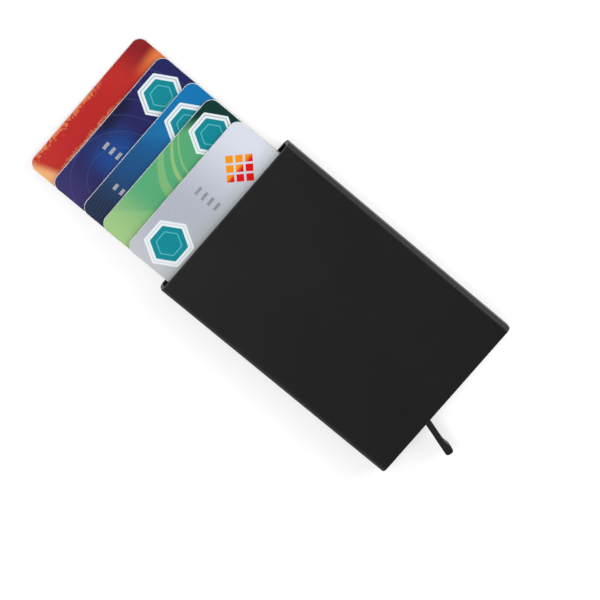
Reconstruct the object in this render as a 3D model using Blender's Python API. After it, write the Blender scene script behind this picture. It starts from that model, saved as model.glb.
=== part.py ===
"""A pocket card holder: an extruded aluminium tube with a push lever at its bottom end and five cards.

The case lies on its back. +X is its right side seen from the front, +Y points out of the mouth and +Z is
the way its front face looks. The origin is the middle of the back face. The lever is modelled shut, then
turned to its open place.
"""

import math

import bmesh
import bpy
from mathutils import Matrix, Vector

# Cards, of the standard size, from the rear one to the front one
CARD_LENGTH = 0.0856
CARD_WIDTH = 0.05398
CARD_THICKNESS = 0.00076
CARD_CORNER_RADIUS = 0.00318
CARD_GAP = 0.0003
CARD_SIDE_GAP = 0.0005  # between the cards and the left rail
CARD_SHIFT = 0.0006  # how far the thicker felt on the right keeps the cards to the left
CARD_COLOURS = {
    "card_red": (0.50, 0.03, 0.03),
    "card_navy": (0.03, 0.06, 0.24),
    "card_blue": (0.01, 0.14, 0.38),
    "card_green": (0.14, 0.42, 0.17),
    "card_silver": (0.45, 0.45, 0.53),
}
# How far each card stands out of the mouth, as shares of its length, in the same order
CARD_LEAD_SHARES = (0.6775, 0.5682, 0.4266, 0.3345, 0.2091)

# Case: the walls of the extruded tube
FACE_WALL = 0.0012
SIDE_WALL = 0.0015
CASE_EDGE_RADIUS = 0.0022
BORE_EDGE_RADIUS = 0.0004
CASE_END_CHAMFER = 0.0003
MOUTH_INSET = 0.0007  # a shut card's edge lies this far inside the mouth
CARD_END_GAP = 0.0004  # between a shut card and the end frame

# Clearances
FIT_GAP = 0.0003
ARM_GAP = 0.0004
ARM_TIP_GAP = 0.0006
PIN_GAP = 0.00005
BORE_GAP = 0.00007
WASHER_GAP = 0.0001
SCREW_GAP = 0.00005
SPRING_GAP = 0.0001
OVERRUN = 0.001  # how far a cutter passes what it cuts

# Lever: a handle outside, a hub on the pin, and an arm with one step for each card
OPEN_ANGLE = math.radians(74)
HUB_RADIUS = 0.0026
HANDLE_THICKNESS = 0.0020
HANDLE_PROUD = 0.0006  # how far the shut handle stands out of the bottom end
HANDLE_LIP = 0.0008
HANDLE_LIP_LENGTH = 0.0042
ROOT_BACK = 0.0010  # how far the handle's root passes the hub's middle
WEB_INSET = 0.0004  # how far the web's left side lies inside the hub's
ARM_WIDTH = 0.0032
FIRST_REACH = 0.0190  # of the step under the front card
REACH_STEP = 0.00475

# Pin and washers
PIN_RADIUS = 0.0009
PIN_CHAMFER = 0.0002
WASHER_RADIUS = 0.0022
WASHER_THICKNESS = 0.0003

# End frame and its cover
FLOOR_THICKNESS = 0.0006
COVER_THICKNESS = 0.0010
PLATE_BELOW = 0.0028  # from the pin's axis to the plates' lower edge
PLATE_ABOVE = 0.0035
BLOCK_GAP = 0.0009  # between the hub and the block that holds the spring
END_BLOCK_WIDTH = 0.0031
END_RECESS = 0.0003
NOSE_LENGTH = 0.0030
NOSE_HEIGHT = 0.0024
NOSE_BITE = 0.0005  # how far a nose reaches into the tube's side wall
NOSE_CLEARANCE = 0.0002

# Screws of the cover
SCREW_RADIUS = 0.0005
SCREW_HEAD_RADIUS = 0.0011
SCREW_HEAD_DEPTH = 0.0006
SCREW_DRIVE_LENGTH = 0.0013
SCREW_DRIVE_WIDTH = 0.00035
SCREW_DRIVE_DEPTH = 0.0004
SCREW_PLACE_SHARES = (0.20, 0.70)  # along the block

# Detent spring
SPRING_THICKNESS = 0.00025
SPRING_LEG = 0.0012
SPRING_ABOVE = 0.0026
SPRING_BELOW = 0.0019
SPRING_NOSE = 0.0012  # half the length of the bend that rubs on the hub

# Side rails and their felt
RAIL_WIDTH = 0.0013
RAIL_INSET = 0.0055  # from the mouth
RAIL_LEAD_WIDTH = 0.0008
RAIL_LEAD_LENGTH = 0.0025
FELT_GAP = 0.00026
FELT_BED_DEPTH = 0.0008
FELT_SPAN_SHARES = ((0.08, 0.42), (0.58, 0.92))  # along the rail
FELT_NAMES = ("lower", "upper")

# Facets
CORNER_STEPS = 8
ROUND_STEPS = 32

# Heights, from the back face
CARD_COUNT = len(CARD_COLOURS)
CARD_PITCH = CARD_THICKNESS + CARD_GAP
STACK_LOW = FACE_WALL + CARD_GAP
STACK_HIGH = STACK_LOW + CARD_COUNT * CARD_PITCH - CARD_GAP
CASE_THICKNESS = STACK_HIGH + CARD_GAP + FACE_WALL
MID_HEIGHT = CASE_THICKNESS / 2
FLOOR_HIGH = STACK_LOW + FLOOR_THICKNESS
COVER_LOW = STACK_HIGH - COVER_THICKNESS
WASHER_SPACE = WASHER_THICKNESS + 2 * WASHER_GAP
HUB_LOW = FLOOR_HIGH + WASHER_SPACE
HUB_HIGH = COVER_LOW - WASHER_SPACE
BLOCK_HIGH = COVER_LOW - FIT_GAP

# Places across the case
RAIL_IN = CARD_WIDTH / 2 + CARD_SHIFT + CARD_SIDE_GAP
RAIL_OUT = RAIL_IN + RAIL_WIDTH
FRAME_HALF = RAIL_OUT
BORE_HALF = RAIL_OUT + FIT_GAP
CASE_WIDTH = 2 * (BORE_HALF + SIDE_WALL)

# The lever's sizes about its pin, with the lever shut
HANDLE_INNER = PLATE_BELOW + FIT_GAP
HANDLE_OUTER = HANDLE_INNER + HANDLE_THICKNESS
HANDLE_ROOT = HANDLE_INNER * math.tan(OPEN_ANGLE / 2) + FIT_GAP
WEB_LEFT = HUB_RADIUS - WEB_INSET
ARM_HALF = ARM_WIDTH / 2
LONGEST_REACH = FIRST_REACH + (CARD_COUNT - 1) * REACH_STEP
WALL_REACH = math.hypot(ROOT_BACK, HANDLE_OUTER) + FIT_GAP
COVER_REACH = WALL_REACH - FIT_GAP
FLOOR_REACH = math.hypot(COVER_REACH, PLATE_ABOVE) + FIT_GAP
ARM_START = FLOOR_REACH + FIT_GAP
# Where the open handle's root corner comes to, which the floor leaves free
ROOT_CORNER = HANDLE_OUTER * math.sin(OPEN_ANGLE) - HANDLE_ROOT * math.cos(OPEN_ANGLE)
FLOOR_STEP = ROOT_CORNER + FIT_GAP

# Places along the case
FRAME_DEPTH = HANDLE_OUTER - HANDLE_PROUD + PLATE_ABOVE
CASE_LENGTH = FRAME_DEPTH + CARD_END_GAP + CARD_LENGTH + MOUTH_INSET
MOUTH_Y = CASE_LENGTH / 2
END_Y = -MOUTH_Y
FRAME_TOP = END_Y + FRAME_DEPTH
PIVOT_Y = FRAME_TOP - PLATE_ABOVE
PLATE_LOW = PIVOT_Y - PLATE_BELOW
FRAME_LOW = END_Y + END_RECESS
WALL_TOP = PIVOT_Y - ARM_HALF - ARM_GAP
BLOCK_MID = (PLATE_LOW + FRAME_TOP) / 2
RAIL_LOW = FRAME_TOP + FIT_GAP
RAIL_HIGH = MOUTH_Y - RAIL_INSET

END_BLOCK_LEFT = FRAME_HALF - END_BLOCK_WIDTH
PIVOT_X = END_BLOCK_LEFT - ARM_TIP_GAP - LONGEST_REACH
HANDLE_REACH = BORE_HALF - FIT_GAP + PIVOT_X
BLOCK_RIGHT = PIVOT_X - HUB_RADIUS - BLOCK_GAP


def clear_scene():
    for thing in list(bpy.data.objects):
        bpy.data.objects.remove(thing, do_unlink=True)


def finish(name, colour, roughness, metallic=0.0):
    material = bpy.data.materials.new(name)
    material.use_nodes = True
    shader = material.node_tree.nodes["Principled BSDF"]
    shader.inputs["Base Color"].default_value = (*colour, 1.0)
    shader.inputs["Roughness"].default_value = roughness
    shader.inputs["Metallic"].default_value = metallic
    return material


def place(name, bm, material, origin=(0, 0, 0), turn=0.0):
    """Makes an object of the bmesh, whose own coordinates are about the origin."""
    bmesh.ops.recalc_face_normals(bm, faces=bm.faces)
    mesh = bpy.data.meshes.new(name)
    bm.to_mesh(mesh)
    bm.free()
    piece = bpy.data.objects.new(name, mesh)
    bpy.context.scene.collection.objects.link(piece)
    piece.location = origin
    piece.rotation_euler.z = turn
    if material:
        mesh.materials.append(material)
    return piece


def combine(piece, name, bm, operation):
    """Joins the bmesh to the piece or cuts it out, through a hidden helper in the piece's own coordinates."""
    helper = place(f"{piece.name}_{name}", bm, None)
    helper.parent = piece
    helper.hide_render = True
    helper.display_type = "WIRE"
    modifier = piece.modifiers.new(name, "BOOLEAN")
    modifier.operation = operation
    modifier.object = helper
    modifier.solver = "EXACT"


def join(piece, name, bm):
    combine(piece, name, bm, "UNION")


def cut(piece, name, bm):
    combine(piece, name, bm, "DIFFERENCE")


def arc(centre, radius, start, end, steps):
    """Points along an arc, both ends included."""
    angles = [start + (end - start) * i / steps for i in range(steps + 1)]
    return [(centre[0] + radius * math.cos(a), centre[1] + radius * math.sin(a)) for a in angles]


def rounded_rectangle(low, high, radius, steps=CORNER_STEPS):
    corners = (
        (high[0] - radius, high[1] - radius),
        (low[0] + radius, high[1] - radius),
        (low[0] + radius, low[1] + radius),
        (high[0] - radius, low[1] + radius),
    )
    quarter = math.pi / 2
    points = []
    for i, corner in enumerate(corners):
        points += arc(corner, radius, i * quarter, (i + 1) * quarter, steps)
    return points


def rectangle(low, high):
    return [low, (high[0], low[1]), high, (low[0], high[1])]


def circle(radius, steps=ROUND_STEPS):
    return arc((0, 0), radius, 0, 2 * math.pi, steps)[:-1]


def prism(outline, low, high):
    """Fills an outline in X and Y between two heights."""
    bm = bmesh.new()
    face = bm.faces.new([bm.verts.new((x, y, low)) for x, y in outline])
    raised = bmesh.ops.extrude_face_region(bm, geom=[face])
    moved = [part for part in raised["geom"] if isinstance(part, bmesh.types.BMVert)]
    bmesh.ops.translate(bm, verts=moved, vec=(0, 0, high - low))
    return bm


def extrusion(outline, near, far):
    """Fills an outline in X and Z between two places along Y."""
    bm = prism(outline, -far, -near)
    bmesh.ops.rotate(bm, verts=bm.verts, matrix=Matrix.Rotation(math.pi / 2, 3, "X"))
    return bm


def turning(profile, steps=ROUND_STEPS):
    """Turns a profile of radius and height about Z. An open profile starts and ends on the axis."""
    bm = bmesh.new()
    points = [bm.verts.new((radius, 0, height)) for radius, height in profile]
    ends = points[1:] if profile[0][0] == 0 else points[1:] + points[:1]
    edges = [bm.edges.new(pair) for pair in zip(points, ends)]
    bmesh.ops.spin(
        bm, geom=points + edges, axis=(0, 0, 1), angle=2 * math.pi, steps=steps, use_merge=True
    )
    bmesh.ops.remove_doubles(bm, verts=bm.verts, dist=PIN_GAP / 10)
    return bm


def strip_outline(path, thickness):
    """The edge-on outline of sheet metal that is bent along a path, with mitred bends."""
    points = [Vector(point) for point in path]
    runs = [(b - a).normalized() for a, b in zip(points, points[1:])]
    near, far = [], []
    for i, point in enumerate(points):
        before = runs[max(i - 1, 0)]
        after = runs[min(i, len(runs) - 1)]
        across = (before + after).orthogonal().normalized()
        mitre = across * (thickness / 2) / across.dot(after.orthogonal())
        near.append(point + mitre)
        far.append(point - mitre)
    return near + far[::-1]


def card_low(level):
    """The underside of a card, counted from the rear one."""
    return STACK_LOW + level * CARD_PITCH


def side_name(side):
    return "left" if side < 0 else "right"


def mirrored(outline, side):
    return [(side * x, y) for x, y in outline]


def nose_outline(side, reach, clearance):
    """A snap nose on the end frame's side, or with a clearance the pocket that it clicks into."""
    half = NOSE_LENGTH / 2 + clearance
    inner = FRAME_HALF - OVERRUN
    return mirrored(rectangle((inner, BLOCK_MID - half), (reach, BLOCK_MID + half)), side)


def make_case_tube(material):
    outside = rounded_rectangle(
        (-CASE_WIDTH / 2, 0), (CASE_WIDTH / 2, CASE_THICKNESS), CASE_EDGE_RADIUS
    )
    bm = extrusion(outside, END_Y, MOUTH_Y)
    rims = [edge for edge in bm.edges if edge.verts[0].co.y * edge.verts[1].co.y > 0]
    bmesh.ops.bevel(bm, geom=rims, offset=CASE_END_CHAMFER, segments=1, affect="EDGES")
    tube = place("case_tube", bm, material)
    bore = rounded_rectangle(
        (-BORE_HALF, FACE_WALL), (BORE_HALF, CASE_THICKNESS - FACE_WALL), BORE_EDGE_RADIUS
    )
    cut(tube, "bore", extrusion(bore, END_Y - OVERRUN, MOUTH_Y + OVERRUN))
    half = NOSE_HEIGHT / 2 + NOSE_CLEARANCE
    for side in (-1, 1):
        pocket = nose_outline(side, BORE_HALF + NOSE_BITE + NOSE_CLEARANCE, NOSE_CLEARANCE)
        cut(tube, f"{side_name(side)}_pocket", prism(pocket, MID_HEIGHT - half, MID_HEIGHT + half))


def screw_profile(bottom, gap):
    """A countersunk screw from its tip to its head, or with a gap the hole that it goes into."""
    shank = SCREW_RADIUS + gap
    head = SCREW_HEAD_RADIUS + gap
    top = STACK_HIGH + (OVERRUN if gap else 0)
    profile = [(0, bottom), (shank, bottom), (shank, STACK_HIGH - SCREW_HEAD_DEPTH - gap)]
    profile += [(head, STACK_HIGH - gap), (head, top)] if gap else [(head, top)]
    return profile + [(0, top)]


def screw_places():
    span = BLOCK_RIGHT + FRAME_HALF
    return [(-FRAME_HALF + span * share, BLOCK_MID) for share in SCREW_PLACE_SHARES]


def cut_screw_holes(piece, bottom):
    for i, (x, y) in enumerate(screw_places()):
        hole = turning(screw_profile(bottom, SCREW_GAP))
        bmesh.ops.translate(hole, verts=hole.verts, vec=(x, y, 0))
        cut(piece, f"screw_hole_{i}", hole)


def cut_pin_hole(piece):
    hole = prism(circle(PIN_RADIUS + PIN_GAP), STACK_LOW - OVERRUN, STACK_HIGH + OVERRUN)
    bmesh.ops.translate(hole, verts=hole.verts, vec=(PIVOT_X, PIVOT_Y, 0))
    cut(piece, "pin_hole", hole)


def floor_outline():
    """The plate behind the hub. Its round corner lets the arm's steps swing past."""
    step = PIVOT_X + FLOOR_STEP
    right = PIVOT_X + FLOOR_REACH
    top_angle = math.asin(PLATE_ABOVE / FLOOR_REACH)
    outline = [(-FRAME_HALF, PLATE_LOW), (step, PLATE_LOW), (step, FRAME_LOW), (right, FRAME_LOW)]
    outline += arc((PIVOT_X, PIVOT_Y), FLOOR_REACH, 0, top_angle, CORNER_STEPS)
    return outline + [(-FRAME_HALF, FRAME_TOP)]


def spring_path():
    """The bent strip's path: a leg in the block, the run beside the hub with its nose, and a second leg."""
    run = BLOCK_RIGHT
    nose = PIVOT_X - HUB_RADIUS - SPRING_GAP - SPRING_THICKNESS
    leg = run - SPRING_LEG
    high = PIVOT_Y + SPRING_ABOVE
    low = PIVOT_Y - SPRING_BELOW
    return [
        (leg, high),
        (run, high),
        (run, PIVOT_Y + SPRING_NOSE),
        (nose, PIVOT_Y),
        (run, PIVOT_Y - SPRING_NOSE),
        (run, low),
        (leg, low),
    ]


def cut_spring_seat(block):
    """One slot for each leg and a shallow bed for the run, all open upwards."""
    path = spring_path()
    half = SPRING_THICKNESS / 2 + SPRING_GAP
    leg = path[0][0] - SPRING_GAP
    right = BLOCK_RIGHT + OVERRUN
    bottom = HUB_LOW - FIT_GAP
    high, low = path[0][1], path[-1][1]
    slots = {
        "upper_leg": ((leg, high - half), (right, high + half)),
        "lower_leg": ((leg, low - half), (right, low + half)),
        "run": ((BLOCK_RIGHT - half, low - half), (right, high + half)),
    }
    for name, (corner, opposite) in slots.items():
        cut(block, f"spring_{name}", prism(rectangle(corner, opposite), bottom, COVER_LOW))


def make_end_frame(material):
    """A block at the left, a floor behind the hub, a wall along the end and a block at the right."""
    block = rectangle((-FRAME_HALF, PLATE_LOW), (BLOCK_RIGHT, FRAME_TOP))
    frame = place("end_frame", prism(block, STACK_LOW, BLOCK_HIGH), material)
    wall = rectangle((PIVOT_X + WALL_REACH, FRAME_LOW), (FRAME_HALF, WALL_TOP))
    end_block = rectangle((END_BLOCK_LEFT, FRAME_LOW), (FRAME_HALF, FRAME_TOP))
    join(frame, "floor", prism(floor_outline(), STACK_LOW, FLOOR_HIGH))
    join(frame, "wall", prism(wall, STACK_LOW, STACK_HIGH))
    join(frame, "end_block", prism(end_block, STACK_LOW, STACK_HIGH))
    half = NOSE_HEIGHT / 2
    for side in (-1, 1):
        nose = nose_outline(side, BORE_HALF + NOSE_BITE, 0)
        join(frame, f"{side_name(side)}_nose", prism(nose, MID_HEIGHT - half, MID_HEIGHT + half))
    cut_pin_hole(frame)
    cut_screw_holes(frame, FLOOR_HIGH)
    cut_spring_seat(frame)


def make_frame_cover(material):
    plate = rectangle((-FRAME_HALF, PLATE_LOW), (PIVOT_X + COVER_REACH, FRAME_TOP))
    cover = place("frame_cover", prism(plate, COVER_LOW, STACK_HIGH), material)
    cut_pin_hole(cover)
    cut_screw_holes(cover, FLOOR_HIGH)


def make_cover_screws(material):
    depth = STACK_HIGH - SCREW_DRIVE_DEPTH
    long_half = SCREW_DRIVE_LENGTH / 2
    short_half = SCREW_DRIVE_WIDTH / 2
    for name, (x, y) in zip(("outer", "inner"), screw_places()):
        body = turning(screw_profile(FLOOR_HIGH + FIT_GAP, 0))
        screw = place(f"cover_screw_{name}", body, material, (x, y, 0))
        for i, (half_x, half_y) in enumerate(((long_half, short_half), (short_half, long_half))):
            slot = rectangle((-half_x, -half_y), (half_x, half_y))
            cut(screw, f"drive_{i}", prism(slot, depth, STACK_HIGH + OVERRUN))


def make_lever_pin(material):
    inner = PIN_RADIUS - PIN_CHAMFER
    profile = [
        (0, STACK_LOW),
        (inner, STACK_LOW),
        (PIN_RADIUS, STACK_LOW + PIN_CHAMFER),
        (PIN_RADIUS, STACK_HIGH - PIN_CHAMFER),
        (inner, STACK_HIGH),
        (0, STACK_HIGH),
    ]
    place("lever_pin", turning(profile), material, (PIVOT_X, PIVOT_Y, 0))


def make_lever_washers(material):
    inner = PIN_RADIUS + BORE_GAP
    lows = {"back": FLOOR_HIGH + WASHER_GAP, "front": COVER_LOW - WASHER_GAP - WASHER_THICKNESS}
    for name, low in lows.items():
        high = low + WASHER_THICKNESS
        section = [(inner, low), (WASHER_RADIUS, low), (WASHER_RADIUS, high), (inner, high)]
        place(f"lever_washer_{name}", turning(section), material, (PIVOT_X, PIVOT_Y, 0))


def make_detent_spring(material):
    strip = strip_outline(spring_path(), SPRING_THICKNESS)
    place("detent_spring", prism(strip, HUB_LOW, HUB_HIGH), material)


def hub_outline():
    """The thin middle of the lever: the arm's neck, the hub, the web and the root of the handle."""
    neck = ARM_START + OVERRUN
    root = HANDLE_ROOT + OVERRUN
    start = math.asin(ARM_HALF / HUB_RADIUS)
    end = math.pi + math.acos(WEB_LEFT / HUB_RADIUS)
    outline = [(neck, -ARM_HALF), (neck, ARM_HALF)]
    outline += arc((0, 0), HUB_RADIUS, start, end, ROUND_STEPS // 2)
    outline += [(-WEB_LEFT, -HANDLE_INNER), (-root, -HANDLE_INNER), (-root, -HANDLE_OUTER)]
    return outline + [(ROOT_BACK, -HANDLE_OUTER), (ROOT_BACK, -ARM_HALF)]


def handle_outline():
    """The handle with its round tip, and a lip that swells from the outer face for a fingernail."""
    radius = HANDLE_THICKNESS / 2
    middle = (-HANDLE_REACH + radius, -HANDLE_INNER - radius)
    lip_end = -HANDLE_REACH + radius
    lip = -HANDLE_OUTER - HANDLE_LIP
    swell_start = lip_end + HANDLE_LIP
    swell = HANDLE_LIP_LENGTH - HANDLE_LIP
    outline = [(-HANDLE_ROOT, -HANDLE_OUTER), (-HANDLE_ROOT, -HANDLE_INNER)]
    outline += arc(middle, radius, math.pi / 2, math.pi, CORNER_STEPS)
    outline += arc((lip_end, lip + radius), radius, math.pi, math.pi * 3 / 2, CORNER_STEPS)
    for i in range(CORNER_STEPS + 1):
        share = i / CORNER_STEPS
        fall = (1 - math.cos(math.pi * share)) / 2
        outline.append((swell_start + swell * share, lip + HANDLE_LIP * fall))
    return outline


def step_outline(reach):
    """One step of the arm, as long as its card's travel needs, with a round end."""
    quarter = math.pi / 2
    tip = arc((reach - ARM_HALF, 0), ARM_HALF, -quarter, quarter, CORNER_STEPS * 2)
    return [(ARM_START, ARM_HALF), (ARM_START, -ARM_HALF)] + tip


def make_lever(material):
    pivot = (PIVOT_X, PIVOT_Y, 0)
    lever = place("lever", prism(hub_outline(), HUB_LOW, HUB_HIGH), material, pivot, OPEN_ANGLE)
    join(lever, "handle", prism(handle_outline(), STACK_LOW, STACK_HIGH))
    for level in range(CARD_COUNT):
        reach = LONGEST_REACH - level * REACH_STEP
        step = prism(step_outline(reach), STACK_LOW, card_low(level) + CARD_THICKNESS)
        join(lever, f"step_{level}", step)
    cut(lever, "bore", prism(circle(PIN_RADIUS + BORE_GAP), HUB_LOW - OVERRUN, HUB_HIGH + OVERRUN))


def felt_spans():
    length = RAIL_HIGH - RAIL_LOW
    return [
        (RAIL_LOW + length * low, RAIL_LOW + length * high) for low, high in FELT_SPAN_SHARES
    ]


def rail_outline():
    """The right rail: a bevelled mouth end and a bed for each felt strip."""
    bed = RAIL_IN + FELT_BED_DEPTH
    outline = [
        (RAIL_OUT, RAIL_LOW),
        (RAIL_OUT, RAIL_HIGH),
        (RAIL_IN + RAIL_LEAD_WIDTH, RAIL_HIGH),
        (RAIL_IN, RAIL_HIGH - RAIL_LEAD_LENGTH),
    ]
    for low, high in reversed(felt_spans()):
        outline += [(RAIL_IN, high), (bed, high), (bed, low), (RAIL_IN, low)]
    return outline + [(RAIL_IN, RAIL_LOW)]


def make_side_rails(rail_material, felt_material):
    outer = RAIL_IN + FELT_BED_DEPTH - FIT_GAP
    for side in (-1, 1):
        inner = CARD_WIDTH / 2 - side * CARD_SHIFT + FELT_GAP
        rail = mirrored(rail_outline(), side)
        place(f"side_rail_{side_name(side)}", prism(rail, STACK_LOW, STACK_HIGH), rail_material)
        for name, (low, high) in zip(FELT_NAMES, felt_spans()):
            strip = mirrored(rectangle((inner, low + FIT_GAP), (outer, high - FIT_GAP)), side)
            felt = prism(strip, STACK_LOW, STACK_HIGH)
            place(f"felt_{name}_{side_name(side)}", felt, felt_material)


def make_cards():
    half_width = CARD_WIDTH / 2
    half_length = CARD_LENGTH / 2
    outline = rounded_rectangle(
        (-half_width, -half_length), (half_width, half_length), CARD_CORNER_RADIUS
    )
    for level, (name, colour) in enumerate(CARD_COLOURS.items()):
        lead = CARD_LENGTH * CARD_LEAD_SHARES[level]
        origin = (-CARD_SHIFT, MOUTH_Y + lead - half_length, card_low(level))
        place(name, prism(outline, 0, CARD_THICKNESS), finish(name, colour, 0.35), origin)


def main():
    clear_scene()
    anodised = finish("anodised_black", (0.020, 0.020, 0.021), 0.42, 0.6)
    moulded = finish("moulded_black", (0.014, 0.014, 0.015), 0.5)
    steel = finish("steel", (0.55, 0.55, 0.56), 0.3, 1.0)
    felt = finish("felt", (0.02, 0.02, 0.02), 0.95)
    make_case_tube(anodised)
    make_end_frame(moulded)
    make_frame_cover(moulded)
    make_cover_screws(steel)
    make_lever(moulded)
    make_lever_pin(steel)
    make_lever_washers(steel)
    make_detent_spring(steel)
    make_side_rails(moulded, felt)
    make_cards()


main()
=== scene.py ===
"""The looks of the card holder: rounded edges, finishes, printed cards, studio light and camera.

Lengths are in metres. The case lies on its back: +X is its right side seen from the front, +Y
points out of the mouth and +Z is the way its front face looks. A print's own places are in
millimetres: X across its card and Y from the edge that leads out of the mouth, so that the rest of
the card is at negative Y.
"""

import math

import bmesh
import bpy
from mathutils import Matrix, Vector, noise


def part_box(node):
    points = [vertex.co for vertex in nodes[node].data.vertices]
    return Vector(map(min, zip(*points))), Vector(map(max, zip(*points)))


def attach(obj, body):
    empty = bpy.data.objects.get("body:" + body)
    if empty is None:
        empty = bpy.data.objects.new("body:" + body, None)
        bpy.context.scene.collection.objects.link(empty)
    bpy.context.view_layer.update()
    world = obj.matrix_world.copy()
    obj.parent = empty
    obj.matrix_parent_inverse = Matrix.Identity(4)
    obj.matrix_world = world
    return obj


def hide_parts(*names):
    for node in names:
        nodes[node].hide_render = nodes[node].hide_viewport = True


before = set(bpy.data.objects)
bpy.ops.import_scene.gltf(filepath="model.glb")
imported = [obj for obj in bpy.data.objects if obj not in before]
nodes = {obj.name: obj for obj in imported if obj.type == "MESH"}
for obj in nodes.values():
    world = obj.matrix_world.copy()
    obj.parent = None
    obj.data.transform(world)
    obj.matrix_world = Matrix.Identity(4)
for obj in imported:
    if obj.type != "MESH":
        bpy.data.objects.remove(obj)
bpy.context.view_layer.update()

# Camera, as it stood for the photograph
VIEW_AZIMUTH = math.radians(23.79)  # from +Y towards +X
VIEW_ELEVATION = math.radians(74.80)
VIEW_ROLL = math.radians(154.20)
VIEW_DISTANCE = 1.1214
FRAME_PIXELS = 600
FOCAL_PIXELS = 3489.5
ORIGIN_PIXEL = (334.45, 304.4)  # where the middle of the back face lands
SENSOR = 36.0
CLIP_NEAR = 0.01
CLIP_FAR = 20.0

# Floor. Its glow, which only the camera and reflections see, grows with the distance from the case
# and from the left of it to the right, so that the case's shadow shows at the left.
FLOOR_SIZE = 6.0
FLOOR_DROP = 0.0001
FLOOR_TONES = ((0.50, 0.50, 0.50, 1.0), (0.505, 0.505, 0.505, 1.0))
FLOOR_MOTTLE = 3.0
FLOOR_GLOW = {"From Min": 0.4, "From Max": 1.4, "To Min": 0.56, "To Max": 0.74}
FLOOR_LIFT = {"From Min": -0.03, "From Max": 0.03, "To Min": 0.0, "To Max": 0.10}
FLOOR_ROUGHNESS = 0.9

# Light of a room that is dimmer overhead than round about, and three lamps that face the case. A
# lamp's level is what it adds to a white floor under the case.
SKY_ABOVE = 0.17
SKY_ROUND = 1.25
LAMPS = {
    "overhead": {"place": (-0.22, 0.19, 0.60), "size": 0.26, "level": 0.29},
    "window": {"place": (0.40, 0.70, 0.95), "size": 0.70, "level": 0.05},
    "side": {"place": (0.80, -0.30, 0.46), "size": 0.50, "level": 0.185},
}

# Shapes
CASE_CORNER = 0.0022
CASE_RIM = 0.0003
BORE_CORNER = 0.0004
BORE_RIM = 0.0001
FACE_WALL = 0.0012
SIDE_WALL = 0.0015
CARD_CORNER = 0.00318
CARD_RIM = 0.00012
MOULDED_RIM = 0.00018
STEEL_RIM = 0.00004
FELT_RIM = 0.00022
FELT_FUZZ = 0.00007
FELT_CELL = 0.00035
FELT_ROUNDING = 8  # how sharply a strip's edges fall away
OUTERMOST = 0.999  # of a half size, or of a unit normal
MERGE = 0.000002
ROUND_SEGMENTS = 16
RIM_SEGMENTS = 3
FINE_SEGMENTS = 2
SMOOTH_ANGLE = math.radians(40)
SHARP_ANGLE = math.radians(28)
SQUARE_ANGLE = math.radians(80)
FLAT_ANGLE = math.radians(0.5)

# Nodes that keep their own shape and only have their edges rounded, by finish
MOULDED_NODES = ("end_frame", "frame_cover", "side_rail_left", "side_rail_right")
STEEL_NODES = (
    "cover_screw_outer",
    "cover_screw_inner",
    "lever_pin",
    "lever_washer_back",
    "lever_washer_front",
    "detent_spring",
)
FELT_NODES = ("felt_lower_left", "felt_upper_left", "felt_lower_right", "felt_upper_right")
CARD_COLOURS = ("red", "navy", "blue", "green", "silver")

# Grain of each finish: the scales of the grain and of the broad faint patches in it, the roughness,
# and how far that varies
GRAINS = {
    "anodised_black": {
        "Grain Scale": 7500.0, "Patch Scale": 60.0, "Roughness": 0.44, "Spread": 0.08
    },
    "moulded_black": {
        "Grain Scale": 3600.0, "Patch Scale": 120.0, "Roughness": 0.50, "Spread": 0.14
    },
    "bright_steel": {
        "Grain Scale": 9000.0, "Patch Scale": 400.0, "Roughness": 0.30, "Spread": 0.16
    },
    "card_core": {
        "Grain Scale": 2500.0, "Patch Scale": 180.0, "Roughness": 0.42, "Spread": 0.12
    },
    "laminate": {
        "Grain Scale": 3000.0, "Patch Scale": 110.0, "Roughness": 0.34, "Spread": 0.06
    },
}

# Black finishes: the linear colours that they vary between, the colour of a rubbed edge and how far
# it shows, the strength of their reflections, and the height of their grain
BLACKS = {
    "anodised_black": {
        "tones": ((0.0030, 0.0030, 0.0031, 1.0), (0.0046, 0.0046, 0.0047, 1.0)),
        "worn": (0.060, 0.060, 0.064, 1.0),
        "rubbed": 0.25,
        "gloss": 0.28,
        "relief": 0.00003,
    },
    "moulded_black": {
        "tones": ((0.0044, 0.0044, 0.0046, 1.0), (0.0074, 0.0074, 0.0078, 1.0)),
        "worn": (0.035, 0.035, 0.037, 1.0),
        "rubbed": 0.5,
        "gloss": 0.28,
        "relief": 0.00008,
    },
}
BLACK_BUMP = 0.6
WEAR_SCALE = 900.0
WEAR_BREAKS = (0.40, 0.62)
STEEL_TONES = ((0.46, 0.46, 0.47, 1.0), (0.62, 0.62, 0.63, 1.0))
STEEL_STRETCH = (1.0, 1.0, 0.08)  # of the grain along the drawn lines
FELT_TONES = ((0.006, 0.006, 0.006, 1.0), (0.05, 0.05, 0.052, 1.0))
FELT_ROUGHNESS = 0.85
FELT_SHEEN = 0.4
FELT_SHEEN_ROUGHNESS = 0.6
FIBRE_SCALE = 7000.0
TUFT_SCALE = 1500.0

# Card bodies
LAYER_SHARES = (0.20, 0.50, 0.80)  # where a card's layers join, as shares of its thickness
LAYER_LINE = 0.00002  # half the width of a joint's line
LAYER_STRENGTH = 0.5
CORE_PATCHES = (0.3, 0.7)
BACK_GLOSS = 0.35
BACK_STRIPE = (-22.8, -10.2)  # across the card, in millimetres, as for the next two
BACK_STRIP = (-7.4, 0.6)
BACK_EDGE = 0.05
BACK_PATCHES = 0.86  # of the tint, where its patches are darkest
BACK_TINTS = {
    "red": (176, 60, 54),
    "navy": (38, 40, 92),
    "blue": (38, 92, 150),
    "green": (104, 168, 116),
    "silver": (186, 186, 196),
}

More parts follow.
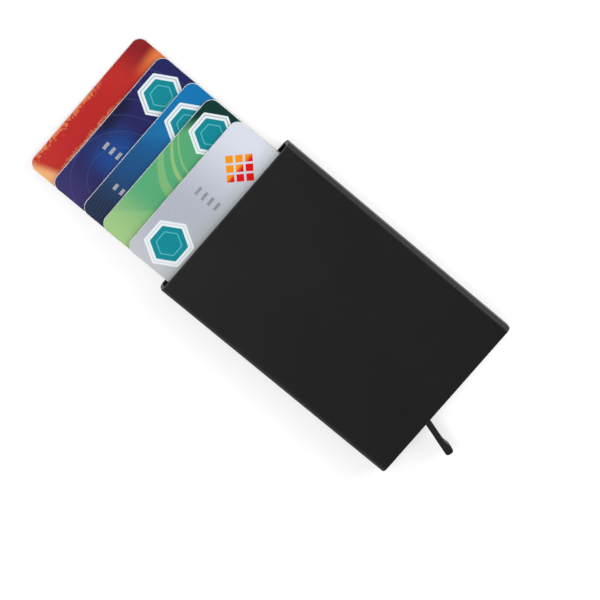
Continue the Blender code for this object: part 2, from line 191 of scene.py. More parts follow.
# Prints, in millimetres
MILLIMETRES = 1000.0
PRINT_EDGE = 0.06
PRINT_GLOSS = 0.2
FILM_VEIL = 0.012  # what the gloss of the film adds to a colour
FILM_GRAIN = 0.06  # height of the film's grain beside that of the foil
TILE_RIM = 1.7
TILE_GROOVE = (0.42, 0.62)  # of the rim
GROOVE_DEPTH = 0.45
TILE_LINE = (-2.0, -1.65)  # inwards from the fill's edge
TILE_BLEND = 0.6
TILES = {  # middle and radius
    "navy": ((16.8, -8.6), 5.0),
    "blue": ((15.2, -8.8), 5.0),
    "green": ((17.8, -8.6), 5.0),
    "silver": ((-17.4, -10.0), 5.4),
}
DASH_PITCH = 2.6
DASH_HALF_HEIGHT = 0.55
FOIL_ROWS = {  # the first dash's middle, how many dashes there are, and half their length
    "navy": ((-6.5, -5.6), 3, 1.3),
    "blue": ((-14.5, -4.2), 2, 1.1),
    "silver": ((1.4, -6.0), 4, 1.5),
}
FOIL_METAL = 0.8
FLECK_SCALE = 0.9
RING_MIDDLE = (-12.0, -16.0)
RING_PITCH = 5.2
RING_HALF_WIDTH = 0.3
WAVE_SWING = 1.5
WAVE_TURN = 0.42  # radians a millimetre
WAVE_HALF_WIDTH = 0.16
WAVE_CORE = 0.02
WAVE_AMOUNT = 0.35
LATTICE_MIDDLE = (15.4, -11.3)
DIAMOND_PITCH = 4.4
DIAMOND_HALF = 1.70


def shade(red, green, blue):
    """A colour given as it shows on a screen, from 0 to 255, as the linear colour for a shader."""
    shares = [value / 255 for value in (red, green, blue)]
    linear = [v / 12.92 if v <= 0.04045 else ((v + 0.055) / 1.055) ** 2.4 for v in shares]
    return (*linear, 1.0)


def ink(red, green, blue):
    """A print's colour, less what the gloss of the film over it adds."""
    return (*[max(0.0, value - FILM_VEIL) for value in shade(red, green, blue)[:3]], 1.0)


TEAL = ink(20, 138, 150)
PALE_TEAL = ink(90, 182, 190)
RIM_WHITE = ink(232, 240, 242)
FOIL = shade(176, 178, 184)
CORE_TONES = (shade(206, 208, 214), shade(232, 234, 238))
LAYER_TONE = shade(150, 153, 162)
STRIPE_TONE = shade(26, 25, 26)
STRIP_TONE = shade(214, 214, 208)


class Graph:
    """One node tree, with short calls for the nodes that the finishes are made of."""

    def __init__(self, tree):
        self.tree = tree

    def feed(self, socket, value):
        """Links a socket to another, or sets its value."""
        if isinstance(value, bpy.types.NodeSocket):
            self.tree.links.new(value, socket)
        else:
            socket.default_value = value

    def add(self, kind, inputs=None, **settings):
        """A new node with its settings made and its inputs fed."""
        node = self.tree.nodes.new(kind)
        for name, value in settings.items():
            setattr(node, name, value)
        for key, value in (inputs or {}).items():
            self.feed(node.inputs[key], value)
        return node

    def math(self, operation, *values):
        """The result of one operation on sockets and numbers."""
        return self.add("ShaderNodeMath", dict(enumerate(values)), operation=operation).outputs[0]

    def plus(self, *values):
        """The sum of sockets and numbers."""
        total = values[0]
        for value in values[1:]:
            total = self.math("ADD", total, value)
        return total

    def times(self, *values):
        """The product of sockets and numbers."""
        product = values[0]
        for value in values[1:]:
            product = self.math("MULTIPLY", product, value)
        return product

    def fade(self, value, low, high):
        """Goes smoothly from 0 at low to 1 at high, and low may be the larger one."""
        inputs = {"Value": value, "From Min": low, "From Max": high}
        return self.add("ShaderNodeMapRange", inputs, interpolation_type="SMOOTHSTEP").outputs[0]

    def window(self, value, low, high, soft):
        """Is 1 between low and high and 0 outside, with soft flanks."""
        rise = self.fade(value, low - soft, low + soft)
        return self.times(rise, self.fade(value, high + soft, high - soft))

    def away(self, value, middle):
        """The distance from a place along one coordinate."""
        return self.math("ABSOLUTE", self.plus(value, -middle))

    def mix(self, share, first, second):
        """The first colour where the share is 0 and the second where it is 1."""
        inputs = {0: share, 6: first, 7: second}
        return self.add("ShaderNodeMix", inputs, data_type="RGBA", clamp_factor=True).outputs[2]

    def noise(self, vector, scale, detail):
        """Soft noise around 0.5."""
        inputs = {"Vector": vector, "Scale": scale, "Detail": detail}
        return self.add("ShaderNodeTexNoise", inputs).outputs["Fac"]

    def bump(self, height, strength, distance):
        """The normal of a surface with a fine relief."""
        inputs = {"Height": height, "Strength": strength, "Distance": distance}
        return self.add("ShaderNodeBump", inputs).outputs["Normal"]

    def group(self, tree, inputs):
        """The outputs of a node group with its inputs fed."""
        node = self.add("ShaderNodeGroup", node_tree=tree)
        for key, value in inputs.items():
            self.feed(node.inputs[key], value)
        return node.outputs


def new_group(name, numbers, outputs, vectors=()):
    """A node group with named sockets, and its graph, inlet and outlet."""
    tree = bpy.data.node_groups.new(name, "ShaderNodeTree")
    for title in vectors:
        tree.interface.new_socket(title, in_out="INPUT", socket_type="NodeSocketVector")
    for title in numbers:
        tree.interface.new_socket(title, in_out="INPUT", socket_type="NodeSocketFloat")
    for title in outputs:
        tree.interface.new_socket(title, in_out="OUTPUT", socket_type="NodeSocketFloat")
    graph = Graph(tree)
    return graph, graph.add("NodeGroupInput").outputs, graph.add("NodeGroupOutput").inputs


def surface_grain_group():
    """Roughness and height of a fine grain of a given size, over broad faint patches."""
    graph, inlet, outlet = new_group(
        "surface_grain",
        ("Grain Scale", "Patch Scale", "Roughness", "Spread"),
        ("Roughness", "Height", "Patches"),
        vectors=("Vector",),
    )
    grain = graph.noise(inlet["Vector"], inlet["Grain Scale"], detail=3.0)
    patches = graph.noise(inlet["Vector"], inlet["Patch Scale"], detail=2.0)
    centred = graph.plus(grain, patches, -1.0)
    spread = graph.times(centred, inlet["Spread"])
    graph.feed(outlet["Roughness"], graph.plus(inlet["Roughness"], spread))
    graph.feed(outlet["Height"], grain)
    graph.feed(outlet["Patches"], patches)
    return graph.tree


def edge_wear_group():
    """Where a piece's marked edges are rubbed, broken up by noise."""
    graph, inlet, outlet = new_group(
        "edge_wear", ("Edge", "Amount"), ("Wear",), vectors=("Vector",)
    )
    rubbed = graph.noise(inlet["Vector"], WEAR_SCALE, detail=4.0)
    broken = graph.fade(rubbed, *WEAR_BREAKS)
    graph.feed(outlet["Wear"], graph.times(inlet["Edge"], broken, inlet["Amount"]))
    return graph.tree


def tile_group():
    """A six-sided tile in a print: its fill, its double outline, and a thin line inside."""
    graph, inlet, outlet = new_group(
        "six_sided_tile", ("X", "Y", "Radius"), ("Fill", "Rim", "Line")
    )
    across = graph.math("ABSOLUTE", inlet["X"])
    along = graph.math("ABSOLUTE", inlet["Y"])
    turn = math.pi / 6
    slant = graph.plus(graph.times(across, math.cos(turn)), graph.times(along, math.sin(turn)))
    reach = graph.math("SMOOTH_MAX", along, slant, TILE_BLEND)
    depth = graph.math("SUBTRACT", reach, inlet["Radius"])
    rim = graph.window(depth, 0.0, TILE_RIM, PRINT_EDGE)
    groove = graph.window(depth, *[TILE_RIM * share for share in TILE_GROOVE], PRINT_EDGE)
    graph.feed(outlet["Fill"], graph.fade(depth, PRINT_EDGE, -PRINT_EDGE))
    graph.feed(outlet["Rim"], graph.times(rim, graph.plus(1.0, graph.times(groove, -GROOVE_DEPTH))))
    graph.feed(outlet["Line"], graph.window(depth, *TILE_LINE, PRINT_EDGE))
    return graph.tree


def dash_group():
    """A row of foil dashes, from the first one's middle inwards along Y."""
    graph, inlet, outlet = new_group(
        "foil_dashes", ("X", "Y", "Half Length", "Row Length"), ("Foil",)
    )
    step = graph.math("PINGPONG", inlet["Y"], DASH_PITCH / 2)
    bar = graph.fade(step, DASH_HALF_HEIGHT + PRINT_EDGE, DASH_HALF_HEIGHT - PRINT_EDGE)
    beyond = graph.math("SUBTRACT", graph.math("ABSOLUTE", inlet["X"]), inlet["Half Length"])
    first = graph.fade(inlet["Y"], DASH_PITCH / 2 + PRINT_EDGE, DASH_PITCH / 2 - PRINT_EDGE)
    last = graph.fade(graph.plus(inlet["Y"], inlet["Row Length"]), -PRINT_EDGE, PRINT_EDGE)
    within = graph.fade(beyond, PRINT_EDGE, -PRINT_EDGE)
    graph.feed(outlet["Foil"], graph.times(bar, within, first, last))
    return graph.tree


def wave_group():
    """Thin wavy lines, as under the print of many cards."""
    graph, inlet, outlet = new_group("fine_waves", ("X", "Y", "Pitch", "Lean", "Amount"), ("Line",))
    swing = graph.times(graph.math("SINE", graph.times(inlet["X"], WAVE_TURN)), WAVE_SWING)
    bent = graph.plus(inlet["Y"], swing, graph.times(inlet["X"], inlet["Lean"]))
    step = graph.math("PINGPONG", bent, graph.times(inlet["Pitch"], 0.5))
    line = graph.fade(step, WAVE_HALF_WIDTH, WAVE_CORE)
    graph.feed(outlet["Line"], graph.times(line, inlet["Amount"]))
    return graph.tree


SURFACE_GRAIN = surface_grain_group()
EDGE_WEAR = edge_wear_group()
TILE = tile_group()
FOIL_DASHES = dash_group()
FINE_WAVES = wave_group()


def new_finish(name):
    """An empty material with its graph, its shader's sockets and the object's own coordinates."""
    material = bpy.data.materials.new(name)
    material.use_nodes = True
    graph = Graph(material.node_tree)
    shader = material.node_tree.nodes["Principled BSDF"]
    place = graph.add("ShaderNodeTexCoord").outputs["Object"]
    return material, graph, shader.inputs, place


def grained(graph, place, finish):
    """The roughness, the height and the patches of a finish's grain."""
    return graph.group(SURFACE_GRAIN, {"Vector": place, **GRAINS[finish]})


def dress(graph, sockets, colour, roughness, normal):
    """Feeds the sockets that vary over every finish."""
    graph.feed(sockets["Base Color"], colour)
    graph.feed(sockets["Roughness"], roughness)
    graph.feed(sockets["Normal"], normal)


def black_finish(name):
    """A fine-grained black, blasted and dyed or moulded, with edges that are rubbed in use."""
    material, graph, sockets, place = new_finish(name)
    look = BLACKS[name]
    grain = grained(graph, place, name)
    edge = graph.add("ShaderNodeAttribute", attribute_name="edge").outputs["Fac"]
    wear = graph.group(EDGE_WEAR, {"Edge": edge, "Vector": place, "Amount": look["rubbed"]})
    plain = graph.mix(grain["Patches"], *look["tones"])
    colour = graph.mix(wear["Wear"], plain, look["worn"])
    relief = graph.bump(grain["Height"], BLACK_BUMP, look["relief"])
    sockets["Specular IOR Level"].default_value = look["gloss"]
    dress(graph, sockets, colour, grain["Roughness"], relief)
    return material


def bright_steel():
    """Drawn steel with fine lines along its length."""
    material, graph, sockets, place = new_finish("bright_steel")
    drawn = graph.add("ShaderNodeMapping", {"Vector": place, "Scale": STEEL_STRETCH})
    grain = grained(graph, drawn.outputs["Vector"], "bright_steel")
    tone = graph.mix(grain["Patches"], *STEEL_TONES)
    relief = graph.bump(grain["Height"], strength=0.2, distance=0.00001)
    sockets["Metallic"].default_value = 1.0
    dress(graph, sockets, tone, grain["Roughness"], relief)
    return material


def black_felt():
    """Short pressed fibres, lighter where they stand up."""
    material, graph, sockets, place = new_finish("black_felt")
    fibres = graph.noise(place, FIBRE_SCALE, detail=5.0)
    tufts = graph.noise(place, TUFT_SCALE, detail=3.0)
    raised = graph.times(fibres, tufts)
    tone = graph.mix(raised, *FELT_TONES)
    roughness = graph.plus(FELT_ROUGHNESS, graph.times(raised, 1.0 - FELT_ROUGHNESS))
    relief = graph.bump(raised, strength=0.9, distance=0.00012)
    sockets["Sheen Weight"].default_value = FELT_SHEEN
    sockets["Sheen Roughness"].default_value = FELT_SHEEN_ROUGHNESS
    dress(graph, sockets, tone, roughness, relief)
    return material


def card_core():
    """The white plastic core that shows at a card's edge, with a fine line where layers join."""
    material, graph, sockets, place = new_finish("card_core")
    low, high = (corner.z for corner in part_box("card_red"))
    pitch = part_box("card_navy")[0].z - low
    depth = graph.add("ShaderNodeSeparateXYZ", {0: place}).outputs["Z"]
    level = graph.math("WRAP", depth, low + pitch, low)
    joints = [
        graph.fade(graph.away(level, low + (high - low) * share), LAYER_LINE, LAYER_LINE / 4)
        for share in LAYER_SHARES
    ]
    lines = graph.plus(*joints)
    grain = grained(graph, place, "card_core")
    plain = graph.mix(graph.fade(grain["Patches"], *CORE_PATCHES), *CORE_TONES)
    lined = graph.mix(graph.times(lines, LAYER_STRENGTH), plain, LAYER_TONE)
    height = graph.math("SUBTRACT", grain["Height"], lines)
    relief = graph.bump(height, strength=0.2, distance=0.00002)
    dress(graph, sockets, lined, grain["Roughness"], relief)
    return material


def card_back(name, tint, middle):
    """A card's plain back, with one dark stripe and one pale strip."""
    material, graph, sockets, place = new_finish(name)
    across = print_place(graph, place, middle, 0.0)[0]
    grain = grained(graph, place, "laminate")
    darker = [value * BACK_PATCHES for value in tint]
    ground = graph.mix(grain["Patches"], shade(*tint), shade(*darker))
    striped = graph.mix(graph.window(across, *BACK_STRIP, BACK_EDGE), ground, STRIP_TONE)
    toned = graph.mix(graph.window(across, *BACK_STRIPE, BACK_EDGE), striped, STRIPE_TONE)
    relief = graph.bump(grain["Height"], strength=0.12, distance=0.00002)
    sockets["Specular IOR Level"].default_value = BACK_GLOSS
    dress(graph, sockets, toned, grain["Roughness"], relief)
    return material


def print_place(graph, place, middle, lead):
    """The print's own X and Y, in millimetres, from the card's middle and its leading edge."""
    inputs = {
        "Vector": place,
        "Location": (-middle * MILLIMETRES, -lead * MILLIMETRES, 0.0),
        "Scale": (MILLIMETRES,) * 3,
    }
    moved = graph.add("ShaderNodeMapping", inputs).outputs["Vector"]
    parts = graph.add("ShaderNodeSeparateXYZ", {0: moved}).outputs
    return parts["X"], parts["Y"]


def from_place(graph, x, y, middle):
    """A print's coordinates, from a place in it."""
    return graph.plus(x, -middle[0]), graph.plus(y, -middle[1])


def slanted(graph, x, y, degrees):
    """A coordinate across stripes that lean by an angle from the card's length."""
    angle = math.radians(degrees)
    return graph.plus(graph.times(x, math.cos(angle)), graph.times(y, math.sin(angle)))


def add_tile(graph, x, y, ground, middle, radius):
    """The ground with a teal tile over it."""
    across, along = from_place(graph, x, y, middle)
    masks = graph.group(TILE, {"X": across, "Y": along, "Radius": radius})
    filled = graph.mix(masks["Fill"], ground, TEAL)
    lined = graph.mix(masks["Line"], filled, PALE_TEAL)
    return graph.mix(masks["Rim"], lined, RIM_WHITE)


def foil_row(graph, x, y, first, count, half_length):
    """A mask of foil dashes in a row, from the first one's middle inwards."""
    across, along = from_place(graph, x, y, first)
    inputs = {
        "X": across,
        "Y": along,
        "Half Length": half_length,
        "Row Length": DASH_PITCH * (count - 0.5),
    }
    return graph.group(FOIL_DASHES, inputs)["Foil"]


def waved(graph, x, y, ground, line, pitch, lean):
    """The ground with thin wavy lines over it, a given distance apart."""
    inputs = {"X": x, "Y": y, "Pitch": pitch, "Lean": lean, "Amount": WAVE_AMOUNT}
    return graph.mix(graph.group(FINE_WAVES, inputs)["Line"], ground, line)


def red_print(graph, x, y):
    """Red with ragged orange flecks along its edges, peach at one end and painted shade at the
    other.
    """
    tone = graph.fade(graph.away(x, -4.0), 30.0, 2.0)
    plain = graph.mix(tone, ink(192, 54, 47), ink(185, 44, 44))
    # Painted shade: the card's right end is darkened to a deep red near its leading edge.
    painted_shade = graph.times(graph.fade(x, 12.0, 24.0), graph.fade(y, -8.6, -5.6))
    field = graph.mix(painted_shade, plain, ink(142, 40, 43))
    flat = graph.add("ShaderNodeCombineXYZ", {0: x, 1: y}).outputs[0]
    cloud = graph.noise(flat, FLECK_SCALE, detail=3.0)
    edge = graph.fade(graph.plus(y, graph.times(cloud, 7.0)), 1.9, 2.9)
    along = graph.fade(graph.away(x, -9.0), 20.0, 10.0)
    lit = graph.mix(graph.times(edge, along, 0.8), field, ink(230, 134, 86))
    left = graph.fade(graph.plus(x, graph.times(y, 0.35)), -24.5, -28.0)
    warm = graph.mix(left, lit, ink(240, 178, 122))
    right = graph.times(graph.fade(x, 14.0, 26.0), graph.fade(y, -4.6, -8.6))
    glow = graph.mix(graph.times(right, 0.85), warm, ink(236, 134, 76))
    low = graph.times(
        graph.fade(graph.plus(y, graph.times(cloud, 3.4)), -6.7, -7.6),
        graph.fade(graph.away(x, -8.0), 20.0, 8.0),
    )
    return graph.mix(graph.times(low, 0.6), glow, ink(240, 170, 124))


def navy_print(graph, x, y):
    """Purple navy with a blue glow in the middle and fine rings."""
    glow = graph.times(graph.fade(graph.away(x, -6.5), 11.0, 2.5), graph.fade(y, 1.5, -10.0))
    plain = graph.mix(graph.fade(x, -12.0, -27.0), ink(44, 46, 96), ink(62, 56, 108))
    field = graph.mix(glow, plain, ink(36, 74, 142))
    dark = graph.times(graph.fade(graph.away(x, 3.0), 11.0, 3.0), graph.fade(y, -5.5, -1.0))
    deep = graph.mix(graph.times(dark, 0.85), field, ink(34, 31, 52))
    squares = [graph.math("POWER", way, 2.0) for way in from_place(graph, x, y, RING_MIDDLE)]
    rings = graph.math("PINGPONG", graph.math("SQRT", graph.plus(*squares)), RING_PITCH / 2)
    ring = graph.fade(rings, RING_HALF_WIDTH, 0.0)
    return graph.mix(graph.times(ring, 0.14), deep, ink(96, 120, 190))


def blue_print(graph, x, y):
    """Slate at the left to bright blue at the right, in broad slanted bands."""
    field = graph.mix(graph.fade(x, -23.0, -5.0), ink(44, 52, 74), ink(38, 82, 132))
    bright = graph.mix(graph.fade(x, -8.0, 20.0), field, ink(18, 120, 180))
    band = graph.window(slanted(graph, x, y, 35), 2.0, 7.0, 2.4)
    lit = graph.mix(graph.times(band, 0.22), bright, ink(44, 134, 188))
    return waved(graph, x, y, lit, ink(52, 98, 148), 1.1, 0.35)


def green_print(graph, x, y):
    """Light green at the left, deep green at the right corner, with pale slanted streaks."""
    field = graph.mix(graph.fade(x, -28.0, -8.0), ink(162, 198, 134), ink(90, 170, 120))
    facet = graph.fade(slanted(graph, x, y, 40), -15.5, -17.0)
    lit = graph.mix(graph.times(facet, 0.3), field, ink(166, 206, 136))
    bend = graph.plus(x, graph.times(graph.math("POWER", graph.plus(y, 12.0), 2.0), -0.055))
    for place, width, strength in ((-5.0, 1.6, 0.35), (0.4, 0.7, 0.6), (3.6, 0.35, 0.5)):
        line = graph.window(bend, place - width, place + width, 0.3)
        lit = graph.mix(graph.times(line, strength), lit, ink(172, 204, 128))
    deep = graph.fade(graph.plus(x, graph.times(y, 0.6)), 11.0, 19.0)
    return graph.mix(deep, lit, ink(20, 62, 58))


def silver_print(graph, x, y):
    """Pearly lavender grey with a lattice of small orange to red diamonds, and painted shade at the
    mouth.
    """
    left = graph.mix(graph.fade(x, -13.0, -27.0), ink(177, 181, 193), ink(193, 195, 202))
    field = graph.mix(graph.fade(x, -6.0, 25.0), left, ink(220, 223, 236))
    # Painted shade: the print goes greyer and darker towards the mouth, where the case shades the
    # card.
    mouth = graph.fade(y, -11.0, -18.0)
    lined = waved(graph, x, y, field, ink(206, 210, 222), 1.25, -0.30)
    toned = graph.mix(graph.times(mouth, 0.5), lined, ink(176, 182, 176))
    across, along = from_place(graph, x, y, LATTICE_MIDDLE)
    half = 1.5 * DIAMOND_PITCH
    masks = []
    for lean in (graph.plus(across, along), graph.math("SUBTRACT", across, along)):
        step = graph.math("PINGPONG", lean, DIAMOND_PITCH / 2)
        cell = graph.fade(step, DIAMOND_HALF + PRINT_EDGE, DIAMOND_HALF - PRINT_EDGE)
        masks.append(graph.times(cell, graph.window(lean, -half, half, PRINT_EDGE)))
    colour = graph.mix(graph.fade(along, 0.8, -0.8), ink(246, 152, 36), ink(222, 30, 32))
    return graph.mix(graph.times(*masks), toned, colour)


PRINTS = {
    "red": red_print,
    "navy": navy_print,
    "blue": blue_print,
    "green": green_print,
    "silver": silver_print,
}


def card_print(colour, middle, lead):
    """A laminated print, with its tile and with its foil dashes pressed in."""
    material, graph, sockets, place = new_finish(f"print_{colour}")
    x, y = print_place(graph, place, middle, lead)
    ground = PRINTS[colour](graph, x, y)
    if colour in TILES:
        ground = add_tile(graph, x, y, ground, *TILES[colour])
    grain = grained(graph, place, "laminate")
    height = graph.times(grain["Height"], FILM_GRAIN)
    if colour in FOIL_ROWS:
        foil = foil_row(graph, x, y, *FOIL_ROWS[colour])
        ground = graph.mix(foil, ground, FOIL)
        height = graph.plus(height, foil)
        graph.feed(sockets["Metallic"], graph.times(foil, FOIL_METAL))
    sockets["Specular IOR Level"].default_value = PRINT_GLOSS
    relief = graph.bump(height, strength=0.35, distance=0.00005)
    dress(graph, sockets, ground, grain["Roughness"], relief)
    return material


def new_solid():
    """An empty mesh that can note on its faces how much they are rubbed."""
    bm = bmesh.new()
    bm.faces.layers.float.new("edge")
    return bm


def bevel(bm, edges, width, segments, rubbed=1.0):
    """Rounds edges and marks the new faces as rubbed."""
    made = bmesh.ops.bevel(
        bm,
        geom=edges,
        offset=width,
        segments=segments,
        profile=0.5,
        affect="EDGES",
        clamp_overlap=True,
        material=-1,
    )
    layer = bm.faces.layers.float["edge"]
    for face in made["faces"]:
        face[layer] = rubbed


def add_object(name, bm, materials):
    """The object of a bmesh that is already in its place."""
    mesh = bpy.data.meshes.new(name)
    bm.to_mesh(mesh)
    bm.free()
    for material in materials:
        mesh.materials.append(material)
    piece = bpy.data.objects.new(name, mesh)
    bpy.context.scene.collection.objects.link(piece)
    return piece


def finish_piece(name, bm, materials, body, replaced):
    """Makes a piece with even shading, hides the node that it replaces and sets it on its body."""
    piece = add_object(name, bm, materials)
    piece.data.shade_smooth()
    piece.data.set_sharp_from_angle(angle=SMOOTH_ANGLE)
    even = piece.modifiers.new("even_shading", "WEIGHTED_NORMAL")
    even.keep_sharp = True
    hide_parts(replaced)
    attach(piece, body)


def rounded_face(bm, low, high, radius):
    """A flat face with round corners between two opposite corners in X and Y."""
    corners = ((low[0], low[1]), (high[0], low[1]), (high[0], high[1]), (low[0], high[1]))
    verts = [bm.verts.new((x, y, 0.0)) for x, y in corners]
    bm.faces.new(verts)
    bmesh.ops.bevel(
        bm,
        geom=verts,
        offset=radius,
        segments=ROUND_SEGMENTS,
        profile=0.5,
        affect="VERTICES",
        material=-1,
    )
    return bm.faces[:]


def extruded(bm, faces, depth):
    """Pulls faces up by a depth and leaves a closed solid."""
    raised = bmesh.ops.extrude_face_region(bm, geom=faces)["geom"]
    verts = [item for item in raised if isinstance(item, bmesh.types.BMVert)]
    bmesh.ops.translate(bm, verts=verts, vec=(0.0, 0.0, depth))
    bmesh.ops.recalc_face_normals(bm, faces=bm.faces)


def put_in_order(bm):
    """Orders a mesh by where its corners are, because the operators leave it in any order."""
    keys = (
        (bm.verts, lambda vert: vert.co[:]),
        (bm.edges, lambda edge: sorted(vert.co[:] for vert in edge.verts)),
        (bm.faces, lambda face: sorted(vert.co[:] for vert in face.verts)),
    )
    for items, key in keys:
        rank = {item: place for place, item in enumerate(sorted(items, key=key))}
        items.sort(key=rank.get)


def ring_face(bm, outer, inner):
    """Flat faces between two rounded outlines, each a low corner, a high corner and a radius."""
    for low, high, radius in (outer, inner):
        one = bmesh.new()
        rounded_face(one, low, high, radius)
        bmesh.ops.delete(one, geom=one.faces[:], context="FACES_ONLY")
        mesh = bpy.data.meshes.new("outline")
        one.to_mesh(mesh)
        one.free()
        bm.from_mesh(mesh)
        bpy.data.meshes.remove(mesh)
    bmesh.ops.bridge_loops(bm, edges=bm.edges[:])
    return bm.faces[:]


def at_an_end(edge, ends):
    """Whether an edge lies in one of the planes across the case's length."""
    return all(min(abs(v.co.y - end) for end in ends) < MERGE for v in edge.verts)


def within_bore(edge, low, high):
    """Whether an edge lies on the bore's outline, which is given in X and Z."""
    middle = (edge.verts[0].co + edge.verts[1].co) / 2
    inside_x = low[0] - MERGE < middle.x < high[0] + MERGE
    return inside_x and low[1] - MERGE < middle.z < high[1] + MERGE


def make_case_shell(material):
    """The extruded tube, with rounded ends inside and outside."""
    low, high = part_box("case_tube")
    bm = new_solid()
    outer = ((low.x, low.z), (high.x, high.z), CASE_CORNER)
    inner_low = (low.x + SIDE_WALL, low.z + FACE_WALL)
    inner_high = (high.x - SIDE_WALL, high.z - FACE_WALL)
    extruded(bm, ring_face(bm, outer, (inner_low, inner_high, BORE_CORNER)), high.y - low.y)
    turn = Matrix.Rotation(math.pi / 2, 3, "X")
    bmesh.ops.rotate(bm, verts=bm.verts, matrix=turn)
    bmesh.ops.translate(bm, verts=bm.verts, vec=(0.0, high.y, 0.0))
    rims = [edge for edge in bm.edges if at_an_end(edge, (low.y, high.y))]
    around = [edge for edge in rims if edge.calc_face_angle(0.0) > SHARP_ANGLE]
    outside = [edge for edge in around if not within_bore(edge, inner_low, inner_high)]
    inside = [edge for edge in around if within_bore(edge, inner_low, inner_high)]
    bevel(bm, outside, CASE_RIM, RIM_SEGMENTS)
    inside = [edge for edge in inside if edge.is_valid]
    bevel(bm, inside, BORE_RIM, FINE_SEGMENTS)
    put_in_order(bm)
    finish_piece("case_shell", bm, [material], "case", "case_tube")


def make_softened(node, name, material, body, width):
    """A node's own shape with its sharp edges rounded."""
    bm = new_solid()
    bm.from_mesh(nodes[node].data)
    bmesh.ops.remove_doubles(bm, verts=bm.verts, dist=MERGE)
    bmesh.ops.dissolve_limit(bm, angle_limit=FLAT_ANGLE, verts=bm.verts, edges=bm.edges)
    sharp = [edge for edge in bm.edges if edge.calc_face_angle(0.0) > SHARP_ANGLE]
    bevel(bm, sharp, width, FINE_SEGMENTS)
    finish_piece(name, bm, [material], body, node)


def make_felt_strip(node, material):
    """A strip of felt with a soft, uneven surface that stays inside its node's space."""
    low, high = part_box(node)
    size = high - low
    middle = (low + high) / 2
    bm = new_solid()
    bmesh.ops.create_cube(bm, size=1.0)
    bmesh.ops.scale(bm, verts=bm.verts, vec=size)
    bmesh.ops.translate(bm, verts=bm.verts, vec=middle)
    for axis in range(3):
        cuts = int(size[axis] / FELT_CELL)
        for i in range(1, cuts):
            place = Vector((0.0, 0.0, 0.0))
            place[axis] = low[axis] + size[axis] * i / cuts
            normal = Vector((0.0, 0.0, 0.0))
            normal[axis] = 1.0
            geometry = bm.verts[:] + bm.edges[:] + bm.faces[:]
            bmesh.ops.bisect_plane(
                bm, geom=geometry, plane_co=place, plane_no=normal, dist=MERGE
            )
    for vert in bm.verts:
        reach = [abs(vert.co[i] - middle[i]) / (size[i] / 2) for i in range(3)]
        corner = sorted(reach)[1]
        fuzz = FELT_FUZZ * (0.5 + 0.5 * noise.noise(vert.co / FELT_CELL))
        pull = fuzz + FELT_RIM * corner**FELT_ROUNDING
        for i in range(3):
            if reach[i] > OUTERMOST:
                vert.co[i] -= math.copysign(pull, vert.co[i] - middle[i])
    bmesh.ops.recalc_face_normals(bm, faces=bm.faces)
    finish_piece(node.replace("felt", "felt_strip"), bm, [material], "case", node)


def make_card(colour, core):
    """A laminated card: the print in front, the white core round the edge, a plain back."""
    node = f"card_{colour}"
    low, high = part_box(node)
    bm = new_solid()
    extruded(bm, rounded_face(bm, low, high, CARD_CORNER), high.z - low.z)
    bmesh.ops.translate(bm, verts=bm.verts, vec=(0.0, 0.0, low.z))
    rims = [edge for edge in bm.edges if edge.calc_face_angle(0.0) > SQUARE_ANGLE]
    bevel(bm, rims, CARD_RIM, FINE_SEGMENTS, 0.0)
    for face in bm.faces:
        facing = face.normal.z
        face.material_index = 0 if facing > OUTERMOST else 2 if facing < -OUTERMOST else 1
    middle = (low.x + high.x) / 2
    front = card_print(colour, middle, high.y)
    back = card_back(f"back_{colour}", BACK_TINTS[colour], middle)
    materials = [front, core, back]
    finish_piece(f"printed_card_{colour}", bm, materials, f"{colour}_card", node)


def make_camera():
    """Stands where the photograph was taken, and turns a little so that it needs no lens shift."""
    flat = math.cos(VIEW_ELEVATION)
    back = Vector(
        (math.sin(VIEW_AZIMUTH) * flat, math.cos(VIEW_AZIMUTH) * flat, math.sin(VIEW_ELEVATION))
    )
    level = Vector((0.0, 0.0, 1.0)).cross(back).normalized()
    right = Matrix.Rotation(VIEW_ROLL, 3, back) @ level
    up = back.cross(right)
    place = back * VIEW_DISTANCE
    half = FRAME_PIXELS / 2
    length = VIEW_DISTANCE / FOCAL_PIXELS
    aim = up * (ORIGIN_PIXEL[1] - half) * length - right * (ORIGIN_PIXEL[0] - half) * length
    back = (place - aim).normalized()
    right = up.cross(back).normalized()
    up = back.cross(right)
    data = bpy.data.cameras.new("camera")
    data.sensor_width = SENSOR
    data.lens = FOCAL_PIXELS * SENSOR / FRAME_PIXELS
    data.clip_start = CLIP_NEAR
    data.clip_end = CLIP_FAR
    camera = bpy.data.objects.new("camera", data)
    bpy.context.scene.collection.objects.link(camera)
    turned = Matrix((right, up, back)).transposed().to_4x4()
    camera.matrix_world = Matrix.Translation(place) @ turned
    bpy.context.scene.camera = camera


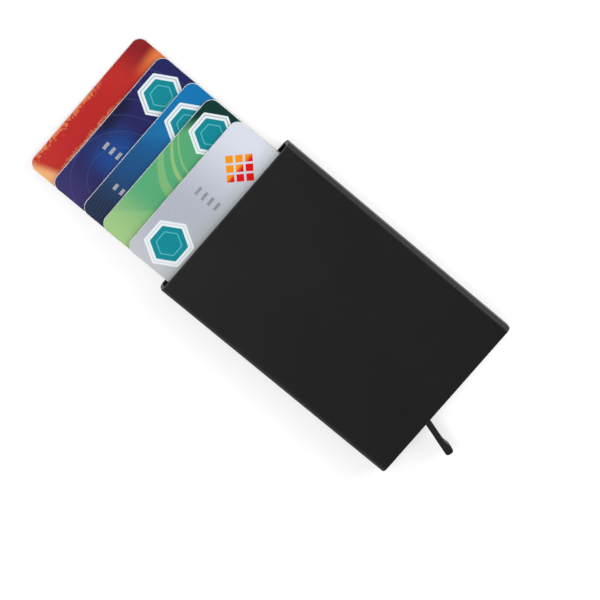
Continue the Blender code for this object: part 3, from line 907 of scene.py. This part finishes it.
def make_floor():
    """A pale floor that looks white to the camera and keeps the object's shadow."""
    material, graph, sockets, place = new_finish("studio_floor")
    mottle = graph.noise(place, FLOOR_MOTTLE, detail=2.0)
    graph.feed(sockets["Base Color"], graph.mix(mottle, *FLOOR_TONES))
    path = graph.add("ShaderNodeLightPath").outputs
    seen = graph.plus(path["Is Camera Ray"], path["Is Glossy Ray"], path["Is Transmission Ray"])
    distance = graph.add("ShaderNodeVectorMath", {0: place}, operation="LENGTH").outputs["Value"]
    glow = graph.add("ShaderNodeMapRange", {"Value": distance, **FLOOR_GLOW}).outputs[0]
    across = graph.add("ShaderNodeSeparateXYZ", {0: place}).outputs["X"]
    lift = graph.add("ShaderNodeMapRange", {"Value": across, **FLOOR_LIFT}).outputs[0]
    graph.feed(sockets["Emission Strength"], graph.times(seen, graph.plus(glow, lift)))
    sockets["Emission Color"].default_value = (1.0, 1.0, 1.0, 1.0)
    sockets["Roughness"].default_value = FLOOR_ROUGHNESS
    sockets["Specular IOR Level"].default_value = 0.0
    bm = bmesh.new()
    bmesh.ops.create_grid(bm, x_segments=1, y_segments=1, size=FLOOR_SIZE / 2)
    bmesh.ops.translate(bm, verts=bm.verts, vec=(0.0, 0.0, -FLOOR_DROP))
    floor = add_object("floor", bm, [material])


def make_light():
    """The room's light and its lamps, which all face the middle of the case."""
    world = bpy.data.worlds.new("studio")
    bpy.context.scene.world = world
    world.use_nodes = True
    graph = Graph(world.node_tree)
    background = world.node_tree.nodes["Background"].inputs
    way = graph.add("ShaderNodeTexCoord").outputs["Generated"]
    height = graph.add("ShaderNodeSeparateXYZ", {0: way}).outputs["Z"]
    inputs = {"Value": height, "To Min": SKY_ROUND, "To Max": SKY_ABOVE}
    background["Color"].default_value = (1.0, 1.0, 1.0, 1.0)
    graph.feed(background["Strength"], graph.add("ShaderNodeMapRange", inputs).outputs[0])
    for name, lamp in LAMPS.items():
        place = Vector(lamp["place"])
        data = bpy.data.lights.new(name, "AREA")
        data.size = lamp["size"]
        # A lamp of this energy lights a white floor at the origin to its level
        data.energy = lamp["level"] * math.pi**2 * place.length**3 / place.z
        light = bpy.data.objects.new(name, data)
        bpy.context.scene.collection.objects.link(light)
        light.location = place
        light.rotation_euler = place.to_track_quat("Z", "Y").to_euler()


def main():
    """Builds the studio, then a piece for each node of the frame."""
    bpy.context.scene.view_settings.view_transform = "Standard"
    make_camera()
    make_floor()
    make_light()
    moulded = black_finish("moulded_black")
    steel = bright_steel()
    felt = black_felt()
    core = card_core()
    make_case_shell(black_finish("anodised_black"))
    make_softened("lever", "push_lever", moulded, "lever", MOULDED_RIM)
    for node in MOULDED_NODES:
        make_softened(node, f"{node}_moulded", moulded, "case", MOULDED_RIM)
    for node in STEEL_NODES:
        make_softened(node, f"{node}_steel", steel, "case", STEEL_RIM)
    for node in FELT_NODES:
        make_felt_strip(node, felt)
    for colour in CARD_COLOURS:
        make_card(colour, core)


main()
